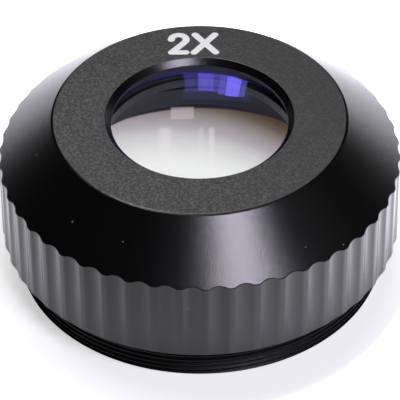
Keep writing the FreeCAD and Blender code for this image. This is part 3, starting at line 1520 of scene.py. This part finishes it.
@dataclass(frozen=True)
class FloorFinish(Finish):
    """Pale floor that looks white to the camera and still takes the object's shadow.

    In the object's reflections it glows more to the right and to the back. Through the lenses it
    shows the light that they throw on it.
    """

    tint: Colour = (0.80, 0.80, 0.80)
    glow: float = 0.55
    mirrored_tint: Colour = (0.98, 0.96, 1.06)
    near_level: float = 1.93
    near_least: float = 0.3
    near_lean: Point = (21.0, 30.0)
    near_bend: float = 250.0
    near_step: float = 0.4
    step_end: float = 0.006
    near_ring: Point = (0.024, 0.034)
    far_ring: Point = (0.05, 0.08)
    underside: Point = (0.021, 0.016)
    far_level: float = 1.72
    far_lean: float = 10.0
    arc_reach: float = 27.3
    arc_middle: float = -7.2
    arc_soft: float = 0.2
    shade: Colour = (0.02, 0.016, 0.03)
    fade_start: float = 1.5
    fade_across: float = 0.23
    fade_per_mm: float = 0.1
    fade: tuple[tuple[float, Colour], ...] = (
        (0.0, (0.090, 0.060, 0.042)),
        (0.12, (0.160, 0.118, 0.090)),
        (0.25, (0.300, 0.248, 0.250)),
        (0.475, (0.510, 0.455, 0.490)),
        (0.625, (0.700, 0.668, 0.690)),
        (0.77, (0.830, 0.815, 0.820)),
        (1.0, (1.0, 0.990, 0.985)),
    )
    panes: tuple[ThrownPane, ...] = (
        ThrownPane(-3.25, -0.65, 18.45, 20.3, 0.26, (1.0, 0.86, 0.92)),
        ThrownPane(-4.6, -3.25, 11.6, 17.2, 0.34, soft=0.35),
        ThrownPane(1.05, 1.65, 10.4, 17.1, 0.34, soft=0.2),
        ThrownPane(-0.15, 0.45, 13.0, 17.1, 0.18, soft=0.25),
    )
    thrown_strength: float = 1.2

    def write(self, recipe: Recipe) -> None:
        """Write the material's nodes.

        Args:
            recipe: the material's empty tree.
        """
        matt = recipe.read("ShaderNodeBsdfDiffuse", {"Color": self.tint, "Roughness": 0.5})
        camera = recipe.ray(Ray.CAMERA)
        level = self._mirrored(recipe).larger(camera) * self.glow
        tone = recipe.blend(camera, self.mirrored_tint, WHITE)
        glow = recipe.read("ShaderNodeEmission", {"Color": tone, "Strength": level})
        lit = recipe.read("ShaderNodeAddShader", {0: matt, 1: glow})
        seen = recipe.mixed(recipe.ray(Ray.CAMERA, Ray.GLOSSY), matt, lit)
        recipe.finish(recipe.mixed(recipe.ray(Ray.TRANSMISSION), seen, self._thrown(recipe)))

    def _mirrored(self, recipe: Recipe) -> Signal:
        """How strongly each place glows in the object's reflections.

        Args:
            recipe: the floor's tree.

        Returns:
            The glow, 1 being the floor's own.
        """
        across, along, _ = recipe.axes()
        reach = (across * across + along * along) ** 0.5
        bend, lean = across * across * self.near_bend, across * self.near_lean[0]
        slant = bend + lean + along * self.near_lean[1]
        near = slant + across.eased(0.0, self.step_end) * self.near_step + self.near_level
        near = near.larger(self.near_least)
        far = (across * self.far_lean).held() + self.far_level
        glow = near + reach.eased(*self.far_ring) * (far - near)
        # Painted shadow: the glow fades out within near_ring of the axis, round the object's foot;
        # within underside of the axis, under the lenses, it is held up again as painted light.
        return (reach.eased(*self.near_ring) * glow).larger(reach.eased(*self.underside))

    def _thrown(self, recipe: Recipe) -> Signal:
        """The light that the lenses throw on the floor, with the shadow behind it.

        Its edge is an arc behind the object, and it fades and turns brown towards the arc and to
        the right.

        Args:
            recipe: the floor's tree.

        Returns:
            The shader.
        """
        across, along, _ = (part * (1.0 / MM) for part in recipe.axes())
        inside = self.arc_reach - (across * across + (along - self.arc_middle) ** 2.0) ** 0.5
        level = (inside - across * self.fade_across + self.fade_start) * self.fade_per_mm
        lit = recipe.read("ShaderNodeValToRGB", {0: level}, stops=self.fade)
        colour = recipe.blend(inside.eased(-self.arc_soft, self.arc_soft), self.shade, lit)
        for pane in self.panes:
            colour = recipe.blend(pane.cover(across, along), colour, pane.tint)
        strength = self.thrown_strength
        return recipe.read("ShaderNodeEmission", {"Color": colour, "Strength": strength})


@dataclass(frozen=True)
class Studio:
    """Pale floor, soft lamps, a bright horizon and the camera."""

    floor_size: float = 4.0
    floor_height: float = -2.0e-5
    horizon_glow: float = 1.0
    horizon_end: float = 0.16
    sky_glow: float = 0.003
    side_lean: float = 0.80
    side_level: float = 0.85
    aim: Point = (-0.019, 8.437)
    camera_distance: float = 398.68
    camera_elevation: float = 41.26
    camera_roll: float = -0.41
    focal_length: float = 273.33
    sensor_width: float = 36.0
    lamps: tuple[Softbox, ...] = (
        Softbox("key_softbox", 28.8, 53.0, 0.70, 0.255, 0.13, 19.9, (0.89, 0.85, 1.0)),
        Softbox("top_softbox", 198.0, 70.0, 0.80, 0.50, 0.34, 6.6),
        Softbox("side_softbox", 84.0, 42.0, 0.90, 0.45, 0.25, 0.10),
        Softbox("window_pane_1", 181.00, 28.2, 1.00, 0.026, 0.145, 1.7),
        Softbox("window_pane_2", 179.20, 28.2, 1.00, 0.028, 0.147, 6.0),
        Softbox("window_pane_3", 177.95, 28.2, 1.00, 0.012, 0.151, 3.6),
        Softbox("window_pane_4", 177.05, 28.6, 1.00, 0.014, 0.162, 5.6),
        Softbox("window_pane_5", 175.60, 28.8, 1.00, 0.028, 0.168, 11.5),
        Softbox("window_pane_6", 174.25, 28.8, 1.00, 0.010, 0.168, 4.0),
        Softbox("window_head", 177.60, 33.4, 1.02, 0.140, 0.050, 0.5),
    )

    def build(self) -> None:
        """Set the stage."""
        self._lay_floor()
        self._light_world()
        for lamp in self.lamps:
            lamp.build()
        self._place_camera()
        bpy.context.scene.view_settings.view_transform = "Standard"

    def _lay_floor(self) -> None:
        """Lay the floor just under the object."""
        clear_selection()
        place = (0.0, 0.0, self.floor_height)
        bpy.ops.mesh.primitive_plane_add(size=self.floor_size, location=place)
        floor = rename(settle(), "pale_floor")
        dress(floor, FloorFinish("pale_floor_finish").make())

    def _light_world(self) -> None:
        """A white horizon, brighter to the right, that fades into a dim ceiling."""
        world = bpy.data.worlds.new("studio_world")
        world.use_nodes = True
        bpy.context.scene.world = world
        recipe = Recipe(world.node_tree)
        side, _, rise = recipe.axes("Generated")
        fade = rise.eased(0.0, self.horizon_end)
        glow = fade * (self.sky_glow - self.horizon_glow) + self.horizon_glow
        glow = glow * (side * self.side_lean + self.side_level)
        level = glow.larger(recipe.ray(Ray.CAMERA))
        background = recipe.read("ShaderNodeBackground", {"Color": WHITE, "Strength": level})
        recipe.finish(background, "ShaderNodeOutputWorld")

    def _place_camera(self) -> None:
        """Put the camera where the photograph was taken from."""
        data = bpy.data.cameras.new("photo_camera")
        data.lens = self.focal_length
        data.sensor_width = self.sensor_width
        data.sensor_fit = "HORIZONTAL"
        camera = bpy.data.objects.new("photo_camera", data)
        rise = math.radians(self.camera_elevation)
        back = Vector((0.0, -math.cos(rise), math.sin(rise))) * self.camera_distance
        tilt = Matrix.Rotation(math.pi / 2 - rise, 4, "X")
        roll = Matrix.Rotation(math.radians(self.camera_roll), 4, "Z")
        camera.location = (Vector((self.aim[0], 0.0, self.aim[1])) + back) * MM
        camera.rotation_euler = (tilt @ roll).to_euler()
        bpy.context.scene.collection.objects.link(camera)
        bpy.context.scene.camera = camera


def main() -> None:
    """Build the studio and every piece."""
    logging.basicConfig(level=logging.INFO, format="%(name)s: %(message)s")
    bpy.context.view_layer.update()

    outside = AnodisedFinish("black_anodised").make()
    gripped = AnodisedFinish("black_anodised_grip", gloss=0.17, gloss_spread=0.03).make()
    blasted = AnodisedFinish(
        "black_blasted_face",
        grain_tint=(0.082, 0.082, 0.079),
        # Painted light: the face's grain is lighter to the front and left and darker to the back
        # and right.
        painted_light_slope=(-30.0, -16.0),
        gloss=0.50,
        grain_per_metre=3500.0,
        grain_depth=3.0e-5,
        specks_per_metre=900.0,
    ).make()
    inside = InnerFinish("matt_inner_black").make()
    glass = CoatedGlassFinish("coated_glass_face").make()
    edge = CoatFinish(
        "blacked_glass_edge",
        low_tint=(0.006, 0.006, 0.006),
        high_tint=(0.014, 0.014, 0.014),
        gloss=0.55,
        grain_per_metre=3000.0,
        grain_depth=1.0e-5,
    ).make()
    paint = CoatFinish(
        "white_paint",
        low_tint=(0.91, 0.91, 0.90),
        high_tint=(0.96, 0.96, 0.95),
        gloss=0.62,
        grain_per_metre=2600.0,
        grain_depth=1.5e-5,
    ).make()

    housing = Housing()
    housing.finish(housing.build(), (outside, gripped, blasted, inside))
    housing.paint(paint)

    doublet = FrontDoublet()
    doublet.finish(doublet.build_crown(), doublet.build_flint(), glass, edge)

    rear = RearGroup()
    metal = ((rear.build_spacer(), "lens_spacer"), (rear.build_ring(), "retaining_ring"))
    rear.finish(rear.build_lens(), metal, glass, edge, inside)

    Studio().build()


if __name__ == "__main__":
    main()
